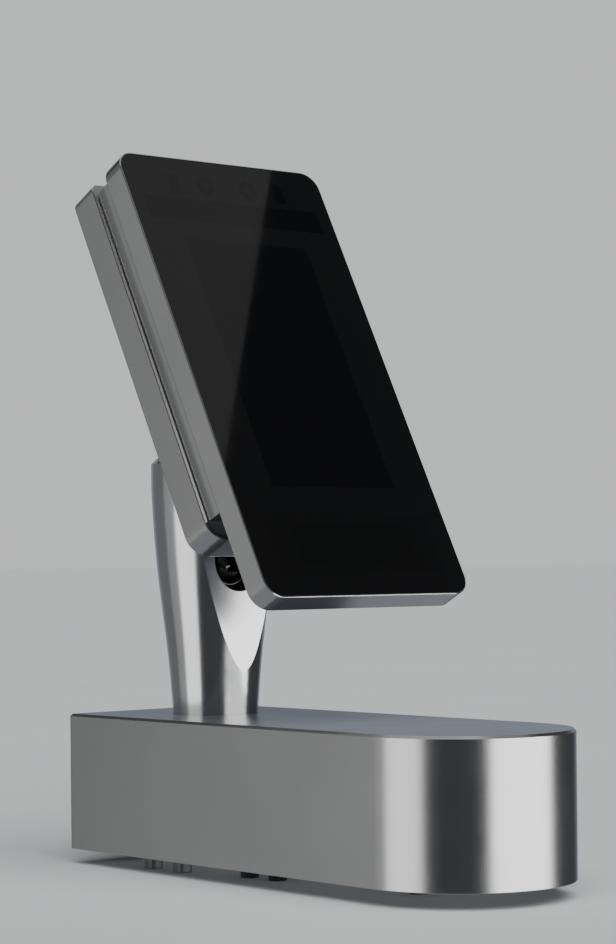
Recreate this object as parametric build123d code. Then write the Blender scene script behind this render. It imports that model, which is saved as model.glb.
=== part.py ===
from build123d import *
import os
from math import cos, radians, sin, sqrt

os.makedirs("parts", exist_ok=True)

# Counter-top charging kiosk with a touch display. Millimetres.
# +X is the kiosk's left-right axis, -Y its front (the half-round end), +Z up.
# The origin is on the counter, under the middle of the base.

# ---- driving dimensions ----------------------------------------------------------------
# base
base_width = 117.0
base_length = 313.5
base_height = 76.0
foot_height = 8.4
base_wall = 3.0
base_edge = 1.4
rear_corner_radius = 2.0
skin_thickness = 2.0
skin_gap = 0.1
skin_gap_at_post = 0.35
deck_thickness = 4.0
plate_thickness = 2.0
plate_recess = 1.0
# post
post_from_rear = 59.3
post_foot_radius = 23.8
post_head_radius = 34.9
post_top = 227.3
post_top_chamfer = 3.4
post_wall = 3.5
post_floor = 8.0
face_lean = 4.0
face_height = 169.4
face_setback = 21.4
face_wall = 4.0
socket_radius = 16.9
# two-axis knuckle
knuckle_radius = 13.6
knuckle_depth = 15.8
knuckle_stem = 26.0
tilt_pin_radius = 3.0
spindle_radius = 3.0
tongue_width = 9.0
tongue_radius = 7.5
tongue_height = 9.0
side_play = 0.3
running_play = 0.05
# display head
head_lean = 27.6
pivot_behind_glass = 104.4
pivot_above_glass_edge = 73.3
glass_width = 140.8
glass_height = 270.4
glass_thickness = 1.8
glass_corner = 10.1
frame_rim = 0.9
front_depth = 15.0
middle_depth = 12.8
rear_depth = 19.0
middle_bottom = 56.2
middle_top = 260.0
rear_bottom = 47.1
rear_top = 268.4
# screen, light and sensors behind the glass
screen_width = 86.0
screen_height = 154.1
screen_middle = 140.8
light_bar_middle = 236.8
camera_row = 253.8
reader_middle = 30.0
# charger
coil_from_middle = -60.0
coil_radius = 25.0
# rear socket bay
bay_width = 68.0
bay_height = 25.0
bay_depth = 14.0
bay_wall = 2.0

# ---- values that follow ----------------------------------------------------------------
base_top = foot_height + base_height
deck_top = base_top - skin_thickness
deck_bottom = deck_top - deck_thickness
plate_bottom = foot_height + plate_recess
plate_top = plate_bottom + plate_thickness
rear_y = base_length / 2
round_y = (base_width - base_length) / 2
post_y = rear_y - post_from_rear
face_place = Pos(0, post_y - face_setback, face_height) * Rot(90 - face_lean, 0, 0)
knuckle_y = post_y - face_setback + knuckle_depth * cos(radians(face_lean))
knuckle_z = face_height - knuckle_depth * sin(radians(face_lean))
lean = radians(head_lean)
glass_edge_y = knuckle_y - pivot_above_glass_edge * sin(lean) - pivot_behind_glass * cos(lean)
glass_edge_z = knuckle_z - pivot_above_glass_edge * cos(lean) + pivot_behind_glass * sin(lean)
head_place = Pos(0, glass_edge_y, glass_edge_z) * Rot(-head_lean, 0, 0)
glass_middle = glass_height / 2
frame_width = glass_width + 2 * frame_rim
frame_height = glass_height + 2 * frame_rim
frame_corner = glass_corner + frame_rim
rear_front = front_depth + middle_depth
rear_back = rear_front + rear_depth
rear_middle = (rear_bottom + rear_top) / 2
rear_height = rear_top - rear_bottom

ON_BASE = (Align.CENTER, Align.CENTER, Align.MIN)


# ---- shared shapes ---------------------------------------------------------------------
def block(width, length, height, x=0.0, y=0.0, z=0.0):
    """Block that stands on height z, centred on x and y."""
    return Pos(x, y, z) * Box(width, length, height, align=ON_BASE)


def rod(radius, height, x=0.0, y=0.0, z=0.0):
    """Upright round bar that stands on height z."""
    return Pos(x, y, z) * Cylinder(radius, height, align=ON_BASE)


def ring(outer, inner, height, x=0.0, y=0.0, z=0.0):
    return rod(outer, height, x, y, z) - rod(inner, height, x, y, z)


def screw(radius, length, head_radius, head_height):
    """Screw whose head is at the origin with its top face up and its shank down."""
    return rod(head_radius, head_height, z=-head_height) + rod(radius, length, z=-length)


def footprint(inset):
    """Base outline: square rear end and half-round front end."""
    radius = base_width / 2 - inset
    rear = rear_y - inset
    straight = Pos(0, (rear + round_y) / 2) * Rectangle(2 * radius, rear - round_y)
    return straight + Pos(0, round_y) * Circle(radius)


def head_block(width, height, depth, front, middle, radius=0.0, x=0.0):
    """Block of the upright head, its front face `front` behind the glass face."""
    outline = RectangleRounded(width, height, radius) if radius else Rectangle(width, height)
    return Pos(x, front + depth, middle) * Rot(90, 0, 0) * extrude(outline, depth)


def head_rod(radius, depth, front, x, middle):
    """Round bar of the upright head with its axis square to the glass."""
    return Pos(x, front + depth, middle) * Rot(90, 0, 0) * rod(radius, depth)


def group(shapes):
    """One node of several separate solids."""
    return Compound([solid for shape in shapes for solid in shape.solids()])


def save(name, shape):
    solids = shape.solids()
    export_step(solids[0] if len(solids) == 1 else Compound(list(solids)), f"parts/{name}.step")


# ---- base housing ----------------------------------------------------------------------
plate_screw_places = [(side * 51.5, y) for side in (-1, 1) for y in (140.0, 25.0, -90.0)]
pillar_radius = 4.0
post_screw_places = [(sx * 9.9, post_y + sy * 9.9) for sx in (-1, 1) for sy in (-1, 1)]
post_screw = Rot(180, 0, 0) * screw(2.5, deck_thickness + 4.5 + 6.5, 4.2, 4.5)
post_screw_seat = deck_bottom - 4.5
wire_hole = (0.0, post_y + 12.0)
wire_hole_radius = 4.5
holder_radius = coil_radius + 4.0


def base_shell():
    """One-piece housing: wall, deck and plate pillars, with a bright chamfer round its top."""
    body = Pos(0, 0, foot_height) * extrude(footprint(0), base_height)
    body = fillet(body.edges().filter_by(Axis.Z).group_by(Axis.Y)[-1], rear_corner_radius)
    body = chamfer(body.faces().sort_by(Axis.Z)[-1].edges(), base_edge)
    body = chamfer(body.faces().sort_by(Axis.Z)[0].edges(), 0.4)
    body -= Pos(0, 0, deck_top) * extrude(footprint(base_edge + 0.2), skin_thickness)
    body -= Pos(0, 0, foot_height) * extrude(footprint(base_wall), deck_bottom - foot_height)
    for x, y in plate_screw_places:
        body += rod(pillar_radius, deck_bottom - plate_top + 0.5, x, y, plate_top)
    for x, y in plate_screw_places:
        body -= rod(1.25, 12.0, x, y, plate_top)
    for x, y in post_screw_places:
        body -= rod(2.7, deck_thickness, x, y, deck_bottom)
    body -= rod(wire_hole_radius, deck_thickness, *wire_hole, deck_bottom)
    body -= rod(holder_radius, deck_thickness, 0, coil_from_middle, deck_bottom)
    body -= block(bay_width + 0.2, 10, bay_height + 0.1, 0, rear_y - 3, foot_height)
    return body


def top_skin():
    """Flush top surface that a phone lies on; not metal, so that the coil works through it."""
    skin = Pos(0, 0, deck_top) * extrude(footprint(base_edge + 0.2 + skin_gap), skin_thickness)
    return skin - rod(post_foot_radius + skin_gap_at_post, skin_thickness, 0, post_y, deck_top)


fixing_spacing_x = 60.0
fixing_spacing_y = 90.0
fixing_middle_y = 5.0
fixing_places = [(sx * fixing_spacing_x / 2, fixing_middle_y + sy * fixing_spacing_y / 2)
                 for sx in (-1, 1) for sy in (-1, 1)]
fixing_radius = 2.1
nut_radius = 5.0
nut_height = 9.0


def bottom_plate():
    """Steel plate that closes the base and carries the feet and the counter fixings."""
    plate = Pos(0, 0, plate_bottom) * extrude(footprint(base_wall + 0.15), plate_thickness)
    plate -= block(bay_width + 0.2, 30, 5, 0, rear_y - bay_depth + 14.9, plate_bottom - 1)
    for x, y in plate_screw_places:
        plate -= rod(1.6, plate_thickness, x, y, plate_bottom)
        plate -= rod(2.9, 1.2, x, y, plate_bottom)
    for x, y in fixing_places:
        plate -= rod(fixing_radius, plate_thickness, x, y, plate_bottom)
    return plate


save("base_shell", base_shell())
save("top_skin", top_skin())
save("bottom_plate", bottom_plate())
save("plate_screws", group(Pos(x, y, plate_bottom) * Rot(180, 0, 0) * screw(1.2, 10.0, 2.8, 1.2)
                           for x, y in plate_screw_places))
save("fixing_nuts", group(ring(nut_radius, fixing_radius, nut_height, x, y, plate_top)
                          for x, y in fixing_places))

# ---- feet ------------------------------------------------------------------------------
heel_size = 9.0
heel_corner = 3.0
heel_places = [(side * 38.8, y) for side in (-1, 1) for y in (105.3, 79.5)]
rubber_foot_radius = 4.9
rubber_places = [(side * x, y) for side in (-1, 1) for x, y in ((27.5, 35.6), (25.0, 15.4))]
rubber_places += [(side * 9.0, -76.0) for side in (-1, 1)]


def heel_block():
    """Rounded block of light grey nylon under the post's end of the base."""
    heel = extrude(RectangleRounded(heel_size, heel_size, heel_corner), plate_bottom)
    return chamfer(heel.faces().sort_by(Axis.Z)[0].edges(), 0.5)


def rubber_foot():
    foot = rod(rubber_foot_radius, plate_bottom)
    return fillet(foot.faces().sort_by(Axis.Z)[0].edges(), 0.8)


save("heel_blocks", group(Pos(x, y, 0) * heel_block() for x, y in heel_places))
save("rubber_feet", group(Pos(x, y, 0) * rubber_foot() for x, y in rubber_places))

# ---- inside the base -------------------------------------------------------------------
ballast_size = (92.0, 76.0, 18.0)
ballast_y = -86.0
board_z = plate_top + 10.0
power_board_size = (92.0, 64.0, 1.6)
power_board_y = 95.0
standoff_places = [(sx * 41.0, power_board_y + sy * 27.0) for sx in (-1, 1) for sy in (-1, 1)]


def ballast():
    """Steel block low in the front end, which keeps the base down when the screen is pressed."""
    width, length, height = ballast_size
    body = block(width, length, height, 0, ballast_y, plate_top)
    body = chamfer(body.edges().filter_by(Axis.Z).group_by(Axis.Y)[0], 16.0)
    return body


def power_board():
    board = block(*power_board_size, 0, power_board_y, board_z)
    for x, y in standoff_places:
        board -= rod(1.6, 2, x, y, board_z)
    return board


def power_parts():
    """Converter parts on the power board: two coils, three capacitors and a connector."""
    top = board_z + power_board_size[2]
    parts = [block(14, 14, 9, -24 + 20 * i, power_board_y + 14, top) for i in range(2)]
    parts += [rod(4, 14, -28 + 12 * i, power_board_y - 10, top) for i in range(3)]
    parts += [block(16, 8, 10, 26, power_board_y - 14, top)]
    return group(parts)


holder_floor = 1.6
coil_height = 1.4
ferrite_height = 1.2
coil_top = deck_top - 0.1


def coil_holder():
    """Plastic cup in the deck opening that holds the coil against the top skin."""
    cup = rod(holder_radius - 0.15, deck_thickness - 0.05, 0, coil_from_middle, deck_bottom - 0.05)
    cup += rod(holder_radius + 4, 1.5, 0, coil_from_middle, deck_bottom - 1.55)
    pocket = coil_height + ferrite_height
    cup -= rod(coil_radius + 0.1, pocket, 0, coil_from_middle, coil_top - pocket)
    return cup


save("ballast", ballast())
save("power_board", power_board())
save("power_parts", power_parts())
save("board_standoffs", group(rod(3.0, board_z - plate_top, x, y, plate_top) for x, y in standoff_places))
save("coil_holder", coil_holder())
save("charger_coil", ring(coil_radius, 9.0, coil_height, 0, coil_from_middle, coil_top - coil_height))
save("ferrite_disc", rod(coil_radius, ferrite_height, 0, coil_from_middle,
                         coil_top - coil_height - ferrite_height))
charger_board_z = deck_bottom - 7.0
charger_board = block(46, 38, 1.6, 0, coil_from_middle, charger_board_z)
charger_posts = [rod(2.0, deck_bottom - 1.55 - charger_board_z - 1.6, sx * 18, coil_from_middle + sy * 14,
                     charger_board_z + 1.6) for sx in (-1, 1) for sy in (-1, 1)]
save("charger_board", charger_board)
save("charger_posts", group(charger_posts))

# ---- socket bay in the rear wall -------------------------------------------------------
bay_inner_y = rear_y - bay_depth
bay_floor_z = foot_height
socket_z = foot_height + 11.5
inlet_x = -24.0
lan_x = -6.0
usb_x = 10.0
button_x = 25.0
button_radius = 4.0
button_travel = 1.2
button_play = 0.1


def along_y(shape, x, y, z):
    """Turn an upright shape so that its top faces the rear."""
    return Pos(x, y, z) * Rot(-90, 0, 0) * shape


def io_bay():
    """Black tub in the rear wall, open to the rear and below, that the sockets look out of."""
    tub = block(bay_width, bay_depth, bay_height, 0, rear_y - bay_depth / 2, bay_floor_z)
    tub -= block(bay_width - 2 * bay_wall, bay_depth, bay_height - bay_wall,
                 0, rear_y - bay_depth / 2 + bay_wall, bay_floor_z)
    tub -= along_y(rod(4.6, 10), inlet_x, bay_inner_y - 4, socket_z)
    tub -= block(16.2, 10, 13.7, lan_x, bay_inner_y, socket_z - 6.85)
    tub -= block(13.3, 10, 6.0, usb_x, bay_inner_y, socket_z - 3.0)
    tub -= along_y(rod(button_radius + button_play, 10), button_x, bay_inner_y - 4, socket_z)
    return tub


def dc_inlet():
    body = along_y(rod(4.5, 13), inlet_x, bay_inner_y - 10, socket_z)
    body += block(11, 8, 11, inlet_x, bay_inner_y - 6.05, socket_z - 5.5)
    body -= along_y(rod(2.8, 9), inlet_x, bay_inner_y - 6, socket_z)
    return body + along_y(rod(1.05, 8), inlet_x, bay_inner_y - 6, socket_z)


def lan_socket():
    body = block(16.0, 16.0, 13.5, lan_x, bay_inner_y - 5.0, socket_z - 6.75)
    return body - block(11.8, 13.0, 8.3, lan_x, bay_inner_y - 2.5, socket_z - 4.5)


def usb_socket():
    body = block(13.1, 14.0, 5.8, usb_x, bay_inner_y - 4.0, socket_z - 2.9)
    body -= block(12.0, 10.0, 4.7, usb_x, bay_inner_y - 1.0, socket_z - 2.35)
    return body + block(10.6, 9.0, 1.6, usb_x, bay_inner_y - 2.0, socket_z + 0.2)


def power_button():
    cap = along_y(rod(button_radius, 6.0), button_x, bay_inner_y - 2.0, socket_z)
    cap = fillet(cap.faces().sort_by(Axis.Y)[-1].edges(), 0.5)
    return cap + along_y(rod(button_radius + 1.2, 1.5), button_x, bay_inner_y - 1.7, socket_z)


save("io_bay", io_bay())
save("dc_inlet", dc_inlet())
save("lan_socket", lan_socket())
save("usb_socket", usb_socket())
save("power_button", power_button())
switch_gap = button_travel + 0.3
save("power_switch", block(10, 6, 10, button_x, bay_inner_y - 2.0 - switch_gap - 3.0, socket_z - 5))

# ---- post ------------------------------------------------------------------------------
column_radius = 10.0
column_top = knuckle_z - knuckle_stem - 1.5
column_screw_places = [(-13.0, post_y), (13.0, post_y)]
column_flange = 4.0
floor_top = deck_top + post_floor


def post_solid(inset, bottom, top, corner):
    """Turned body of the post: slender foot, swelling smoothly to a wider head."""
    foot = post_foot_radius - inset
    head = post_head_radius - inset
    swell = post_head_radius - post_foot_radius
    low = (foot, base_top)
    high = (head, base_top + 129.0)
    side = Spline([low, (foot + 0.295 * swell, base_top + 38.7), (foot + 0.72 * swell, base_top + 79.0),
                   (foot + 0.975 * swell, base_top + 119.0), high], tangents=[(0.06, 1), (0, 1)])
    outline = Polyline((head, high[1]), (head, top - corner), (head - corner, top), (0, top), (0, bottom),
                       (foot, bottom), low)
    return Pos(0, post_y, 0) * Rot(90, 0, 0) * revolve(make_face(outline + side), Axis.Y)


def face_cut(depth):
    """All that lies in front of the post's flat face, moved back by depth."""
    return face_place * block(120, 200, 60, 0, 0, -depth)


def post():
    body = post_solid(0, deck_top, post_top, post_top_chamfer) - face_cut(0)
    body -= post_solid(post_wall, deck_top - 1, post_top - 4.0, 2.0) - face_cut(face_wall)
    return body - face_place * rod(socket_radius, 12, z=-9)


def post_base():
    """Disc that the tube is bonded to; it is screwed to the deck and carries the column."""
    disc = rod(post_foot_radius - post_wall - 0.05, post_floor, 0, post_y, deck_top)
    for x, y in post_screw_places:
        disc -= rod(2.5, 7.0, x, y, deck_top)
    for x, y in column_screw_places:
        disc -= rod(2.0, 6.0, x, y, floor_top - 6)
    return disc - rod(wire_hole_radius, post_floor, *wire_hole, deck_top)


def spindle_column():
    """Flanged pillar inside the post that carries the swivel spindle."""
    column = rod(17.0, column_flange, 0, post_y, floor_top)
    column += rod(column_radius, column_top - floor_top, 0, knuckle_y, floor_top)
    column -= rod(spindle_radius, 40, 0, knuckle_y, column_top - 30)
    for x, y in column_screw_places:
        column -= rod(2.1, column_flange, x, y, floor_top)
    return column - rod(wire_hole_radius, column_flange, *wire_hole, floor_top)


save("post", post())
save("post_base", post_base())
save("post_screws", group(Pos(x, y, post_screw_seat) * post_screw for x, y in post_screw_places))
save("spindle_column", spindle_column())
column_screw = screw(1.95, 2.5 + column_flange + 5.5, 3.5, 2.5)
save("column_screws", group(Pos(x, y, floor_top + column_flange + 2.5) * column_screw
                            for x, y in column_screw_places))
spindle_top = knuckle_z - 9.0
save("spindle", rod(spindle_radius, spindle_top - column_top + 30, 0, knuckle_y, column_top - 30))
save("thrust_washer", ring(8.5, spindle_radius + 0.1, 1.2, 0, knuckle_y, column_top))

# ---- socket in the post's face ---------------------------------------------------------
bezel_front = -0.3
bezel_back = -9.6
trim_inner = 12.2
trim_outer = 14.5
trim_front = -8.1
trim_back = -8.9


def turned(points):
    """Ring with its axis square to the post's face, from (radius, height above the face)."""
    return face_place * Rot(90, 0, 0) * revolve(make_face(Polyline(*points, close=True)), Axis.Y)


def socket_bezel():
    """Black funnel that lines the hole in the post's face."""
    outer = socket_radius - 0.05
    return turned([(outer, bezel_front), (outer, -face_wall - 0.05), (outer + 2.6, -face_wall - 0.05),
                   (outer + 2.6, -7.0), (outer, -7.0), (outer, bezel_back), (12.7, bezel_back),
                   (12.7, trim_back), (trim_outer, trim_back), (trim_outer, trim_front),
                   (trim_inner + 0.3, trim_front), (outer - 0.5, bezel_front)])


save("socket_bezel", socket_bezel())
save("trim_ring", turned([(trim_outer, trim_front), (trim_outer, trim_back), (trim_inner, trim_back),
                          (trim_inner, trim_front)]))

# ---- knuckle ---------------------------------------------------------------------------
stem_radius = 5.5
collar_radius = 9.0
collar_height = 5.0
slot_low = 1.0
slot_high = 33.5


def knuckle():
    """Ball on a stem: it turns on the spindle and is slotted for the arm's tongue."""
    body = Sphere(knuckle_radius)
    body += rod(stem_radius, knuckle_stem, z=-knuckle_stem)
    body += rod(collar_radius, collar_height, z=-knuckle_stem)
    slot_width = tongue_width + 2 * side_play
    reach = 2 * knuckle_radius
    body -= Rot(0, 90, 0) * Cylinder(tongue_radius + 0.4, slot_width)
    for angle in (slot_low, (slot_low + slot_high) / 2, slot_high):
        body -= Rot(-angle, 0, 0) * Pos(0, -reach / 2, 0) * Box(slot_width, reach, tongue_height + 1.0)
    body -= Rot(0, 90, 0) * Cylinder(tilt_pin_radius, 4 * knuckle_radius)
    body -= rod(spindle_radius + running_play, knuckle_stem - 8.7, z=-knuckle_stem)
    return Pos(0, knuckle_y, knuckle_z) * body


save("knuckle", knuckle())
save("tilt_pin", Pos(0, knuckle_y, knuckle_z) * Rot(0, 90, 0) * Cylinder(tilt_pin_radius, 24.0))

# ---- arm and its fixing on the head ----------------------------------------------------
arm_radius = 6.0
arm_flare_radius = 11.0
flange_radius = 22.0
flange_thickness = 4.0
arm_screw_places = [(sx * 11.5, pivot_above_glass_edge + sz * 11.5) for sx in (-1, 1) for sz in (-1, 1)]
arm_screw = screw(2.0, 13.0, 3.6, 2.2)
arm_plate_thickness = 3.0
cover_wall = 2.2


def arm():
    """Arm from the knuckle to the back of the head, along the head's own depth."""
    height = pivot_above_glass_edge
    pivot = pivot_behind_glass
    flare_end = pivot - 34.0
    body = Rot(0, 90, 0) * Cylinder(tongue_radius, tongue_width)
    body += Pos(0, -7.5, 0) * Box(tongue_width, 15, tongue_height)
    body = Pos(0, pivot, height) * body
    body += head_rod(arm_radius, pivot - 14.2 - flare_end, flare_end, 0, height)
    cone_length = flare_end - rear_back - flange_thickness
    cone = Cone(arm_flare_radius, arm_radius, cone_length, align=ON_BASE)
    body += Pos(0, flare_end - cone_length, height) * Rot(-90, 0, 0) * cone
    flange = head_rod(flange_radius, flange_thickness, rear_back, 0, height)
    body += chamfer(flange.faces().sort_by(Axis.Y)[-1].edges(), 0.8)
    body -= Pos(0, pivot, height) * Rot(0, 90, 0) * Cylinder(tilt_pin_radius + running_play, 40)
    for x, z in arm_screw_places:
        body -= head_rod(2.1, 10, rear_back - 1, x, z)
        body -= head_rod(3.7, 10, rear_back + flange_thickness - 2.2, x, z)
    return body


def toward_front(shape, x, depth, middle):
    """Set an upright shape in the head with its top facing back."""
    return Pos(x, depth, middle) * Rot(-90, 0, 0) * shape


save("arm", head_place * arm())
save("arm_screws", head_place * group(toward_front(arm_screw, x, rear_back + flange_thickness, z)
                                      for x, z in arm_screw_places))
arm_plate = head_block(60, 60, arm_plate_thickness, rear_back - cover_wall - arm_plate_thickness,
                       pivot_above_glass_edge + 8, 4)
for x, z in arm_screw_places:
    arm_plate -= head_rod(2.0, 10, rear_back - cover_wall - 6, x, z)
save("arm_plate", head_place * arm_plate)

# ---- rear unit of the head -------------------------------------------------------------
rear_width = frame_width - 0.4
rear_corner = 11.4
rear_top_corner = 5.0
rear_screw_places = [(sx * 62.0, z) for sx in (-1, 1) for z in (66.0, 156.0, 246.0)]
rear_screw = screw(1.5, 24.0, 2.9, 1.6)
boss_radius = 3.6
chassis_thickness = 2.0
vent_rows = 9


def rear_cover():
    """Deep aluminium tray that closes the back of the head."""
    tray = head_block(rear_width, rear_height, rear_depth, rear_front, rear_middle, rear_corner)
    tray += head_block(rear_width, rear_height / 2, rear_depth, rear_front,
                       rear_top - rear_height / 4, rear_top_corner)
    tray = fillet(tray.faces().sort_by(Axis.Y)[-1].edges(), 1.0)
    tray = chamfer(tray.faces().sort_by(Axis.Y)[0].edges(), 0.35)
    inside = head_block(rear_width - 2 * cover_wall, rear_height - 2 * cover_wall, rear_depth - cover_wall,
                        rear_front, rear_middle, rear_corner - cover_wall)
    tray -= inside
    boss_depth = rear_depth - cover_wall - chassis_thickness
    for x, z in rear_screw_places:
        tray += head_rod(boss_radius, boss_depth + 0.5, rear_front + chassis_thickness, x, z)
    for x, z in rear_screw_places:
        tray -= head_rod(1.6, rear_depth, rear_front, x, z)
        tray -= head_rod(3.0, 3.0, rear_back - 1.6, x, z)
    for x, z in arm_screw_places:
        tray -= head_rod(2.1, 10, rear_back - 5, x, z)
    for row in range(vent_rows):
        tray -= head_block(64, 1.6, 6, rear_back - 4, 196 + 5 * row, 0.79)
    return tray


def chassis_plate():
    """Plate in the mouth of the rear cover that the main board is fixed to."""
    play = 0.1
    plate = head_block(rear_width - 2 * cover_wall - 2 * play, rear_height - 2 * cover_wall - 2 * play,
                       chassis_thickness, rear_front, rear_middle, rear_corner - cover_wall - play)
    plate -= head_block(70, 30, 6, rear_front - 2, 170, 3)
    for x, z in rear_screw_places:
        plate -= head_rod(1.6, 6, rear_front - 2, x, z)
    return plate


board_front = rear_front + chassis_thickness + 3.0
board_middle = 178.0


def main_board():
    return head_block(104, 120, 1.6, board_front, board_middle, 2)


def board_parts():
    """Memory, power and connector blocks on the main board."""
    back = board_front + 1.6
    parts = [head_block(13, 16, 1.4, back, board_middle + 42, 0, x) for x in (-34, -17)]
    parts += [head_block(20, 20, 2.0, back, board_middle - 32, 0, x) for x in (-30, 30)]
    parts += [head_block(9, 24, 6.0, back, board_middle, 0, x) for x in (-44, 44)]
    return group(parts)


def heat_sink():
    """Finned block on the processor."""
    back = board_front + 1.6
    sink = head_block(44, 44, 2.5, back, board_middle, 0)
    for i in range(8):
        sink += head_block(1.6, 44, 6.0, back + 2.4, board_middle, 0, -21.2 + i * 6.057)
    return sink


board_posts = [head_rod(2.5, 3.0, rear_front + chassis_thickness, sx * 47, board_middle + sz * 55)
               for sx in (-1, 1) for sz in (-1, 1)]
save("rear_cover", head_place * rear_cover())
save("rear_screws", head_place * group(toward_front(rear_screw, x, rear_back, z) for x, z in rear_screw_places))
save("chassis_plate", head_place * chassis_plate())
save("main_board", head_place * main_board())
save("board_posts", head_place * group(board_posts))
save("board_parts", head_place * board_parts())
save("heat_sink", head_place * heat_sink())

# ---- middle housing --------------------------------------------------------------------
middle_width = frame_width - 0.6
middle_band = 3.1
middle_draw = 2.0
speaker_x = 36.0
frame_screw_places = [(sx * 60.0, z) for sx in (-1, 1) for z in (78.0, 234.0)]


def drawn_in(width, length, up):
    """Bar of the upright head whose two long sides curve inwards behind a straight band."""
    half = width / 2
    run = middle_depth - middle_band
    radius = (run * run + middle_draw * middle_draw) / (2 * middle_draw)
    mid = run / 2
    sag = radius - sqrt(radius * radius - mid * mid)
    front = Polyline((-half + middle_draw, middle_depth), (half - middle_draw, middle_depth))
    right = ThreePointArc((half - middle_draw, middle_depth), (half - sag, middle_band + mid),
                          (half, middle_band))
    left = ThreePointArc((-half + middle_draw, middle_depth), (-half + sag, middle_band + mid),
                         (-half, middle_band))
    band = Polyline((half, middle_band), (half, 0), (-half, 0), (-half, middle_band))
    outline = make_face(front + right + left + band)
    bar = Pos(0, 0, -length / 2) * extrude(outline, length)
    middle = (middle_top + middle_bottom) / 2
    return Pos(0, front_depth, middle) * Rot(0, 90 if up else 0, 0) * bar


def middle_housing():
    """Ring between the front frame and the rear cover, drawn in towards the rear."""
    height = middle_top - middle_bottom
    middle = (middle_top + middle_bottom) / 2
    body = drawn_in(middle_width, 2 * height, False) & drawn_in(height, 2 * middle_width, True)
    body -= head_block(middle_width - 12, height - 12, middle_depth, front_depth, middle, 2)
    for x, z in rear_screw_places:
        body += head_rod(4.0, middle_depth, front_depth, x, z)
    for x, z in rear_screw_places:
        body -= head_rod(1.55, 6.0, rear_front - 6.0, x, z)
    for x, z in frame_screw_places:
        body += head_block(11.0, 8.0, 6.0, front_depth, z, 0, x * 1.04)
    for x, z in frame_screw_places:
        body -= head_rod(1.25, 4.0, front_depth, x, z)
    for side in (-1, 1):
        for i in range(5):
            x = side * speaker_x + (i - 2) * 4.5
            body -= Pos(x, front_depth + 4.5, middle_bottom) * Box(1.6, 5.0, 14.0)
    return body


speakers = [head_block(32, 16, 9.0, front_depth + 1.5, middle_bottom + 15.0, 2, side * speaker_x)
            for side in (-1, 1)]
save("middle_housing", head_place * middle_housing())
save("speakers", head_place * group(speakers))

# ---- front frame and glass -------------------------------------------------------------
glass_play = 0.15
glass_set_back = 0.1
ledge_width = 3.4
frame_back_wall = 2.0


def front_frame():
    """Aluminium tray behind the glass, with a thin bright rim around it."""
    recess = glass_set_back + glass_thickness + 0.1
    body = head_block(frame_width, frame_height, front_depth, 0, glass_middle, frame_corner)
    body = chamfer(body.faces().sort_by(Axis.Y)[0].edges(), 0.3)
    body = chamfer(body.faces().sort_by(Axis.Y)[-1].edges(), 0.5)
    body -= head_block(glass_width + 2 * glass_play, glass_height + 2 * glass_play, recess, 0, glass_middle,
                       glass_corner + glass_play)
    body -= head_block(glass_width - 2 * ledge_width, glass_height - 2 * ledge_width,
                       front_depth - frame_back_wall, 0, glass_middle, glass_corner - ledge_width)
    body -= head_block(80, 120, 6, front_depth - 4, 168, 4)
    for x, z in frame_screw_places:
        body -= head_rod(1.4, 6, front_depth - 4, x, z)
    return body


def cover_glass():
    glass = head_block(glass_width, glass_height, glass_thickness, glass_set_back, glass_middle, glass_corner)
    return chamfer(glass.faces().sort_by(Axis.Y)[0].edges(), 0.2)


behind_glass = glass_set_back + glass_thickness + 0.1
lcd_border = 5.4


def lcd_panel():
    """Screen module in its steel tray."""
    panel = head_block(screen_width + 2 * lcd_border, screen_height + 2 * lcd_border, 5.2, behind_glass,
                       screen_middle, 1.0)
    return panel - head_block(screen_width, screen_height, 0.4, behind_glass, screen_middle)


led_count = 14
led_pitch = 8.8
led_front = behind_glass + 3.1


def fill_leds():
    first = -led_pitch * (led_count - 1) / 2
    return group([head_block(3.5, 2.8, 1.4, led_front, light_bar_middle, 0, first + i * led_pitch)
                  for i in range(led_count)])


camera_board_front = 9.0
camera_xs = (-15.2, 15.2)
projector_x = 37.5


def camera(x):
    """Lens barrel in its square holder."""
    holder = head_block(12, 12, 3.0, camera_board_front - 3.0, camera_row, 1.5, x)
    barrel = head_rod(5.4, camera_board_front - 3.0 - behind_glass, behind_glass, x, camera_row)
    bowl = head_rod(3.2, 1.2, behind_glass, x, camera_row)
    return holder + barrel - bowl


save("front_frame", head_place * front_frame())
save("frame_screws", head_place * group(
    Pos(x, front_depth - frame_back_wall - 1.5, z) * Rot(90, 0, 0) * screw(1.2, 7.0, 2.6, 1.5)
    for x, z in frame_screw_places))
save("cover_glass", head_place * cover_glass())
save("lcd_panel", head_place * lcd_panel())
save("light_diffuser", head_place * head_block(123.4, 14.6, 3.0, behind_glass, light_bar_middle, 1.0))
save("fill_leds", head_place * fill_leds())
save("led_board", head_place * head_block(126, 16, 1.6, led_front + 1.45, light_bar_middle, 1.0))
save("colour_camera", head_place * camera(camera_xs[0]))
save("infrared_camera", head_place * camera(camera_xs[1]))
save("dot_projector", head_place * head_block(7.5, 12.5, 6.0, camera_board_front - 6.0, camera_row, 0.8,
                                              -projector_x))
save("infrared_lamp", head_place * head_block(7.5, 12.5, 6.0, camera_board_front - 6.0, camera_row, 0.8,
                                              projector_x))
save("camera_board", head_place * head_block(96, 15, 1.6, camera_board_front, camera_row, 1.0))
reader = head_block(110, 34, 1.0, behind_glass, reader_middle, 2.0)
save("reader_board", head_place * reader)
reader_coil = head_block(100, 28, 0.5, behind_glass + 1.0, reader_middle, 3.0)
reader_coil -= head_block(88, 16, 0.5, behind_glass + 1.0, reader_middle, 1.0)
save("reader_coil", head_place * reader_coil)
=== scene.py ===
"""Counter-top charging kiosk: finishes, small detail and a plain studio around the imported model."""

import math

import bmesh
import bpy
from mathutils import Matrix, Vector


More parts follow.
